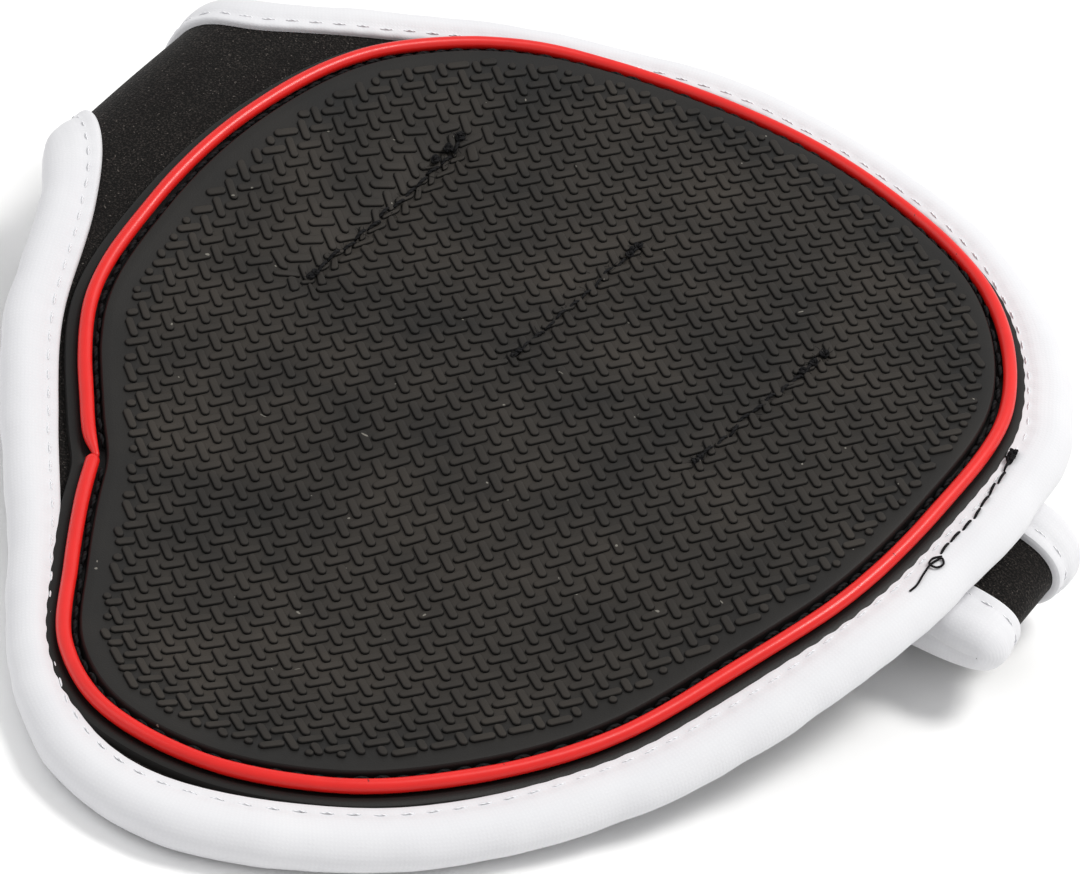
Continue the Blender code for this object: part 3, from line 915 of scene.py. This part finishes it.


# a bar's outline is a stadium, two half circles at its trimmed ends, in rings that narrow towards the top;
# its lowest rings carry painted shade as negative rim marks
def barPieces():
    count = 40
    turn = np.radians(bars["turn"])
    axes = np.array([[np.cos(turn), np.sin(turn)], [np.sin(turn), -np.cos(turn)]])
    steps = np.arange(-count, count + 1)
    i, j = np.meshgrid(steps, steps, indexing="ij")
    steps = i[..., None] * axes[0] + j[..., None] * axes[1]
    middle = (np.array(bars["through"]) * mm + bars["pitch"] * steps).reshape(-1, 2)
    across = ((i + j) % 2 == 0).ravel()
    heading = np.where(across[:, None], axes[1], axes[0])
    line = rimPath[::3]
    turns = np.arctan2(line[:, 1] - beadMiddle[1], line[:, 0] - beadMiddle[0])
    order = np.argsort(turns)
    lineReach = np.linalg.norm(line - beadMiddle, axis=1)
    samples = np.linspace(-0.5, 0.5, bars["samples"]) * bars["length"]
    keep = []
    for sample in samples:
        place = middle + heading * sample
        away = place - beadMiddle
        around = np.arctan2(away[:, 1], away[:, 0])
        reach = np.interp(around, turns[order], lineReach[order], period=2 * np.pi)
        inside = np.linalg.norm(away, axis=1) < reach
        near = np.sqrt(((place[:, None] - line[None]) ** 2).sum(axis=2).min(axis=1))
        border = bars["border"] - bars["borderLean"] * (np.cos(around) + np.sin(around))
        keep.append(inside & (near > border))
    keep = np.stack(keep, axis=1)
    low = np.where(keep, samples, np.inf).min(axis=1)
    high = np.where(keep, samples, -np.inf).max(axis=1)
    used = high - low >= bars["shortest"]
    middle, heading, low, high = middle[used], heading[used], low[used], high[used]
    side = np.stack([-heading[:, 1], heading[:, 0]], axis=1)
    radius = bars["width"] / 2
    low, high = np.minimum(low + radius, (low + high) / 2), np.maximum(high - radius, (low + high) / 2)
    half = bars["sides"] // 2
    angles = np.radians(np.concatenate([np.linspace(-80, 80, half), np.linspace(100, 260, half)]))
    end = np.where(np.arange(2 * half) < half, high[:, None], low[:, None])[:, None]
    wider, rise, dark = (columnOf(bars["ringColumns"], bars["rings"], name)[:, None]
                         for name in bars["ringColumns"])
    alongBar = end + (radius + wider * mm) * np.cos(angles)
    acrossBar = (radius + wider * mm) * np.sin(angles) + 0 * end
    flat = heading[:, None, None] * alongBar[..., None] + side[:, None, None] * acrossBar[..., None]
    flat = middle[:, None, None] + flat
    heights = palm["top"] + bars["height"] * rise + 0 * alongBar
    points = lifted(padSurface, flat[..., 0], flat[..., 1], heights)
    quads, caps = manyForms(len(middle), len(bars["rings"]), 2 * half)
    # painted shade at the bars' feet, carried as negative rim marks
    marks = np.broadcast_to(-dark, points.shape[:3])
    makePiece("gripBars", points, quads, rubberLook, caps, flat / mm, marks, creaseAngle=1.2)
    print(len(middle), "bars")


barPieces()


# Tubes round many paths at once: place + radius (cos, sin) in the plane square to the path
def tubePoints(paths, radius, sides, up):
    ahead = np.gradient(paths, axis=1)
    ahead /= np.linalg.norm(ahead, axis=-1, keepdims=True)
    sideways = np.cross(ahead, up)
    sideways /= np.maximum(np.linalg.norm(sideways, axis=-1, keepdims=True), 1e-9)
    over = np.cross(sideways, ahead)
    turns = np.arange(sides) * 2 * np.pi / sides
    ring = sideways[:, :, None] * np.cos(turns)[:, None] + over[:, :, None] * np.sin(turns)[:, None]
    return paths[:, :, None] + ring * radius[..., None, None]


# tubes as one closed piece, with length along and share round as the UV map
def tubesPiece(name, paths, radius, sides, up, material):
    points = tubePoints(paths, radius, sides, up)
    count, rows = paths.shape[:2]
    quads, caps = manyForms(count, rows, sides)
    run = np.linalg.norm(np.diff(paths, axis=1), axis=2).cumsum(axis=1)
    run = np.concatenate([np.zeros((count, 1)), run], axis=1)
    flat = np.stack(np.broadcast_arrays(run[..., None] / mm, np.arange(sides) / sides), axis=-1)
    return makePiece(name, points, quads, material, caps, flat, creaseAngle=2.5)


# Red bead: a round section carried along its path; it narrows into the joint at one end
bead = {
    "radius": 0.78 * mm,
    "level": 3.05 * mm,
    "sides": 14,
    "taper": 2.2 * mm,         # length over which it narrows and turns in before the joint
    "narrowing": 0.55,
    "turnIn": 0.35 * mm,
    "uneven": (0.02, 17 * mm),    # height and length of its slow waves
    "roundEnd": 0.35 * mm,
    "endShare": 0.75,
}


# radius: less a Gaussian at the joint, times a slow wave, and elliptic over the last bit at both ends
def beadPiece():
    level = np.full(len(beadPath), bead["level"])
    run = runOf(beadPath)
    left = run[-1] - run
    joint = np.exp(-(left / bead["taper"]) ** 2)
    flat = beadPath - outwardOf(beadPath, False) * bead["turnIn"] * joint[:, None]
    path = lifted(padSurface, flat[:, 0], flat[:, 1], level)
    high, wave = bead["uneven"]
    radius = bead["radius"] * (1 - bead["narrowing"] * joint) * (1 + high * wander(run, wave, 5))
    ends = np.clip(np.minimum(run, left) / bead["roundEnd"], 0, 1)
    radius = radius * (bead["endShare"] + (1 - bead["endShare"]) * np.sqrt(1 - (1 - ends) ** 2))
    up = np.array([0, 0, 1.0])
    piece = tubesPiece("redBead", path[None], radius[None], bead["sides"], up, beadLook)
    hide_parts("red_bead")


beadPiece()


# Stitches: each one is an arch between two holes, place + up * (arch - sink at its ends), pushed and turned
# sideways a little. A stitch has a pitch, the share of it that shows, lift, sink, looseness and radius
stitchPoints = 9


def stitchPaths(path, up, stitch, seed):
    random = np.random.default_rng(seed)
    run = runOf(path)
    pitch, loose = stitch["pitch"], stitch["loose"]
    starts = np.arange(0.5 * pitch, run[-1] - pitch, pitch)[:, None]
    at = starts + np.linspace(0, stitch["share"], stitchPoints) * pitch
    place = pathAt(path, run, at)
    rise = pathAt(up, run, at)
    deep = stitch["sink"]
    arch = np.sin(np.pi * np.linspace(0, 1, stitchPoints)) ** 0.6 * (stitch["lift"] + deep) - deep
    sideways = np.cross(np.gradient(place, axis=1), rise)
    sideways /= np.linalg.norm(sideways, axis=-1, keepdims=True)
    push = random.normal(0, loose, starts.shape)
    swing = push + random.normal(0, 0.6 * loose, starts.shape) * np.linspace(-1, 1, stitchPoints)
    lifts = arch * random.uniform(0.85, 1.2, starts.shape)
    return place + rise * lifts[..., None] + sideways * swing[..., None], rise


# a path on a surface as its points and unit normals
def surfacePath(surface, u, v, height):
    low = lifted(surface, u, v, height)
    high = lifted(surface, u, v, height + mm)
    return low, (high - low) / mm


# stitches as tubes that thin towards their ends by a low power of a sine
def stitchPiece(name, path, up, stitch, seed, material):
    paths, rise = stitchPaths(path, up, stitch, seed)
    ends = np.sin(np.pi * np.linspace(0.06, 0.94, stitchPoints)) ** 0.25
    radius = np.broadcast_to(stitch["radius"] * ends, paths.shape[:2])
    return tubesPiece(name, paths, radius, threadSides, rise, material)


threadSides = 8
tapeStitch = {
    "pitch": tape["pitch"],
    "share": 0.72,
    "lift": 0.05 * mm,
    "sink": 0.20 * mm,
    "loose": 0.05 * mm,
    "radius": 0.105 * mm,
    "depth": 0.05 * mm,        # of the thread's line below the bottom of the dip
}


# white thread along the dip of a tape, on one face of the cloth
def tapeThread(name, surface, u, v, face, seed):
    level = face * (pad["tapeReach"] - tape["seamDip"] - tapeStitch["depth"]) + 0 * u
    places, up = surfacePath(surface, u, v, level)
    stitchPiece(name, places, up * face, tapeStitch, seed, whiteThread)


seamPlace = edgePath - edgeOut * edgeCover[:, None] * (1 - tape["seamIn"])
for name, face, seed in (("tapeStitches", 1, 41), ("tapeStitchesUnder", -1, 42)):
    tapeThread(name, padSurface, seamPlace[:, 0], seamPlace[:, 1], face, seed)

seamIn = tape["strapCover"] * (1 - tape["seamIn"])
for name, seamPlace, seed in (("strapStitchesFront", strapFront + seamIn, 43),
                              ("strapStitchesBack", strapBack - seamIn, 44)):
    tapeThread(name, strapSurface, strapStations * strap["step"], seamPlace, -1, seed)

# black thread packed in the groove between the rubber and the bead
grooveStitch = {
    "pitch": 2.1 * mm,
    "share": 0.94,
    "lift": 0.30 * mm,
    "sink": 0.20 * mm,
    "loose": 0.10 * mm,
    "radius": 0.24 * mm,
    "inward": 1.20 * mm,       # from the bead's middle
    "level": 2.75 * mm,
}
grooveLine = evenPath(np.concatenate([rimPath, rimPath[:1]]), 1200)
groovePlace = grooveLine - outwardOf(grooveLine, False) * grooveStitch["inward"]
level = np.full(len(grooveLine), grooveStitch["level"])
places, up = surfacePath(padSurface, groovePlace[:, 0], groovePlace[:, 1], level)
stitchPiece("grooveStitches", places, up, grooveStitch, 51, blackThread)

# The three seams through the palm: short uneven stitches, knots at each end and loose fibres
seamStitch = {
    "pitch": 2.3 * mm,
    "share": 0.96,
    "sink": 0.35 * mm,
    "loose": 0.14 * mm,
    "radius": 0.20 * mm,
}
seam = {
    "rise": 0.18 * mm,         # of the thread above the rubber
    "bend": (0.22 * mm, 0.3),    # height and length of its slow waves
    "fibreRadius": 0.03 * mm,
    "fibreLength": 0.75 * mm,
    "fibreSpread": 0.25 * mm,
    "fibreCrowd": (0.74, 0.98),    # part of the thread with more fibres
    "fibresInFront": 12,
    "knotTurns": 2.6,
    "knotRadius": 0.50 * mm,
    "knotThread": 0.85,        # share of the thread's radius
    "knotSides": 7,
    "frontKnot": 0.7,          # share of the back knots' size, and distance in mm from knot to knot
    "frontStep": 0.9,
}
# both ends of each thread, which lies past the seam where its end hangs loose, and how much of it shows
threadColumns = ("name", "frontAlong", "front", "backAlong", "back", "thickness", "lift", "fibres",
                 "knotStep")
threadRows = (
    ("first", 0.3005, 0.033, 0.290, 0.246, 1.0, 0.34, 180, 2.4),
    ("second", 0.527, 0.060, 0.524, 0.238, 0.85, 0.20, 80, 0.9),
    ("third", 0.7455, 0.053, 0.7516, 0.227, 0.92, 0.24, 100, 2.0),
)


# loose fibres: short parabolas from near a place, kept above the rubber and pressed down towards it
def wildFibres(place, up, length, spread, seed):
    random = np.random.default_rng(seed)
    count = len(place)
    heading = random.normal(0, 1, (count, 3))
    heading += up * 0.5
    heading /= np.linalg.norm(heading, axis=1, keepdims=True)
    bend = random.normal(0, 0.5, (count, 3))
    at = np.linspace(0, 1, 7)[None, :, None]
    start = place + random.normal(0, spread, (count, 3))
    size = length * random.uniform(0.4, 1.2, (count, 1, 1))
    paths = start[:, None] + size * (heading[:, None] * at + bend[:, None] * at ** 2)
    under = ((paths - place[:, None]) * up[:, None]).sum(axis=2, keepdims=True)
    return paths + up[:, None] * (np.maximum(0.05 * mm - under, 0) - 0.5 * np.maximum(under, 0))


# a knot: a path that goes round two unlike circles at once
def knotPath(centre, up, ahead, radius, seed):
    random = np.random.default_rng(seed)
    at = np.linspace(0, 2 * np.pi * seam["knotTurns"], 70)
    side = np.cross(up, ahead)
    wide = radius * (0.75 + 0.35 * np.cos(1.37 * at + random.uniform(0, 6)))
    flat = ahead * (np.cos(at) * wide)[:, None] + side * (np.sin(at) * wide * 0.8)[:, None]
    return centre + flat + up * (0.45 * radius * (1 + np.sin(1.9 * at + random.uniform(0, 6))))[:, None]


for number, row in enumerate(namedRows(threadColumns, threadRows)):
    radius = seamStitch["radius"] * row["thickness"]
    stitch = dict(seamStitch, lift=row["lift"] * mm, radius=radius)
    at = np.linspace(0, 1, 220)
    high, wave = seam["bend"]
    x = (row["frontAlong"] + (row["backAlong"] - row["frontAlong"]) * at - 0.5) * pad["length"]
    x = x + high * wander(at, wave, 60 + number)
    y = (row["front"] + (row["back"] - row["front"]) * at) * pad["width"]
    places, up = surfacePath(padSurface, x, y, palm["top"] + seam["rise"] + 0 * at)
    label = row["name"]
    stitchPiece(label + "SeamStitches", places, up, stitch, 70 + number, blackThread)
    ahead = places[-1] - places[0]
    ahead /= np.linalg.norm(ahead)
    knots = []
    for end, sign in ((0, -1), (-1, 1)):
        step = (row["knotStep"] if end else seam["frontStep"]) * mm
        size = seam["knotRadius"] * row["thickness"] * (1 if end else seam["frontKnot"])
        for turn in range(3 if end else 2):
            centre = places[end] - ahead * sign * turn * step
            knots.append(knotPath(centre, up[end], ahead, size, 80 + 10 * number + 2 * turn + end))
    knots = np.stack(knots)
    thick = np.full(knots.shape[:2], radius * seam["knotThread"])
    tubesPiece(label + "SeamKnots", knots, thick, seam["knotSides"], np.broadcast_to(up[0], knots.shape),
               blackThread)
    pick = np.random.default_rng(90 + number).choice(len(places), row["fibres"])
    third, half = row["fibres"] // 3, row["fibres"] // 2
    pick[:seam["fibresInFront"]] = 0
    pick[seam["fibresInFront"]:third] = len(places) - 1
    pick[third:half] = np.linspace(*seam["fibreCrowd"], half - third) * len(places)
    fibres = wildFibres(places[pick], up[pick], seam["fibreLength"], seam["fibreSpread"], 95 + number)
    tubesPiece(label + "SeamFibres", fibres, np.full(fibres.shape[:2], seam["fibreRadius"]), 4,
               np.broadcast_to(up[pick][:, None], fibres.shape), blackThread)
print("seams stitched")

# The strap's far end is sewn on through the edge tape: black stitches, a little loop and a tail
far = {
    "places": ((51.9, 31.5), (53.0, 26.6), (54.0, 21.8), (54.5, 16.9), (54.6, 13.2), (54.8, 10.8)),
    "loop": ((54.9, 12.5), (54.4, 11.5), (54.7, 10.4), (55.5, 10.4), (55.8, 11.3), (55.2, 12.0),
             (54.8, 10.9), (55.0, 8.8), (55.3, 6.9), (55.2, 5.9)),    # both on the flat pattern, in mm
    "loopAt": (0, 30, 60, 90, 119),
    "loopRise": (0.0, 0.35, 0.25, 0.30, 0.12),          # above the tape at those points, in mm
    "loopPoints": 120,
    "loopThread": 0.75,                                 # share of the stitches' radius
    "level": 2.28 * mm,
    "knotRadius": 0.42 * mm,
    "knotAt": (2, 12, 22),                              # of 300 points on the line
    "knotAhead": (0.2, -1.0, 0),
}
farStitch = {
    "pitch": 2.3 * mm,
    "share": 0.93,
    "lift": 0.22 * mm,
    "sink": 0.16 * mm,
    "loose": 0.10 * mm,
    "radius": 0.165 * mm,
}
farPlace = curveThrough(np.array(far["places"]) * mm, 300)
places, up = surfacePath(padSurface, farPlace[:, 0], farPlace[:, 1], np.full(len(farPlace), far["level"]))
stitchPiece("farStitches", places, up, farStitch, 101, blackThread)
count = far["loopPoints"]
loopPlace = curveThrough(np.array(far["loop"]) * mm, count)
level = far["level"] + np.interp(np.arange(count), far["loopAt"], far["loopRise"]) * mm
loopPath, up = surfacePath(padSurface, loopPlace[:, 0], loopPlace[:, 1], level)
thick = np.full((1, count), far["loopThread"] * farStitch["radius"])
tubesPiece("farLoop", loopPath[None], thick, threadSides, up[None], blackThread)
wedge = np.stack([knotPath(places[at], up[0], np.array(far["knotAhead"]), far["knotRadius"], 110 + at)
                  for at in far["knotAt"]])
tubesPiece("farKnots", wedge, np.full(wedge.shape[:2], farStitch["radius"]), seam["knotSides"],
           np.broadcast_to(up[0], wedge.shape), blackThread)
print("pieces made")

# Floor, camera and lights
room = {
    "floor": 3.0,
    "floorColour": (0.92, 0.92, 0.92, 1),
    "camera": (0.21955, -0.38937, 0.30208),
    "right": (0.81017, 0.56092, 0.17027),
    "down": (0.43093, -0.37299, -0.82169),
    "ahead": (-0.3974, 0.73908, -0.5439),
    "focal": 5000.0,           # in pixels of a picture 1080 wide
    "pixels": 1080,
    "sensor": 36.0,
    "worldStrength": 0.72,
    "lightColumns": ("name", "place", "size", "watts", "colour"),
    "lightRows": (
        ("keyLight", (0.40, 0.46, 1.0), 0.4, 9, (1.0, 0.99, 0.97)),
        ("fillLight", (-0.7, -0.5, 0.9), 0.8, 2, (0.97, 0.98, 1.0)),
    ),
}
half = room["floor"] / 2
corners = [(-half, -half, 0), (half, -half, 0), (half, half, 0), (-half, half, 0)]
floorMesh = bpy.data.meshes.new("floor")
floorMesh.from_pydata(corners, [], [(0, 1, 2, 3)])
floorLook, _, floorShader, _ = startMaterial("paleFloor", 0.9)
floorShader.inputs["Base Color"].default_value = room["floorColour"]
floorShader.inputs["Specular IOR Level"].default_value = 0.0
floorMesh.materials.append(floorLook)
floor = bpy.data.objects.new("floor", floorMesh)
bpy.context.scene.collection.objects.link(floor)


# turn and place of an object from its three axes
def placed(side, up, back, place):
    turned = np.eye(4)
    turned[:3, :3] = np.stack([side, up, back], axis=1)
    turned[:3, 3] = place
    return Matrix(turned.tolist())


cameraData = bpy.data.cameras.new("camera")
cameraData.sensor_width = room["sensor"]
cameraData.lens = room["focal"] / room["pixels"] * room["sensor"]
cameraData.clip_start = 0.01
camera = bpy.data.objects.new("camera", cameraData)
bpy.context.scene.collection.objects.link(camera)
up, back = -np.array(room["down"]), -np.array(room["ahead"])
camera.matrix_world = placed(room["right"], up, back, room["camera"])
bpy.context.scene.camera = camera

# square lamps that face the middle of the floor
for row in namedRows(room["lightColumns"], room["lightRows"]):
    light = bpy.data.lights.new(row["name"], "AREA")
    light.size = row["size"]
    light.energy = row["watts"]
    light.color = row["colour"]
    lamp = bpy.data.objects.new(row["name"], light)
    bpy.context.scene.collection.objects.link(lamp)
    back = np.array(row["place"]) / np.linalg.norm(row["place"])
    side = np.cross([0, 0, 1.0], back)
    side /= np.linalg.norm(side)
    lamp.matrix_world = placed(side, np.cross(back, side), back, row["place"])

world = bpy.data.worlds.new("studio")
world.use_nodes = True
world.node_tree.nodes["Background"].inputs["Color"].default_value = (1, 1, 1, 1)
world.node_tree.nodes["Background"].inputs["Strength"].default_value = room["worldStrength"]
bpy.context.scene.world = world
bpy.context.scene.view_settings.view_transform = "Standard"
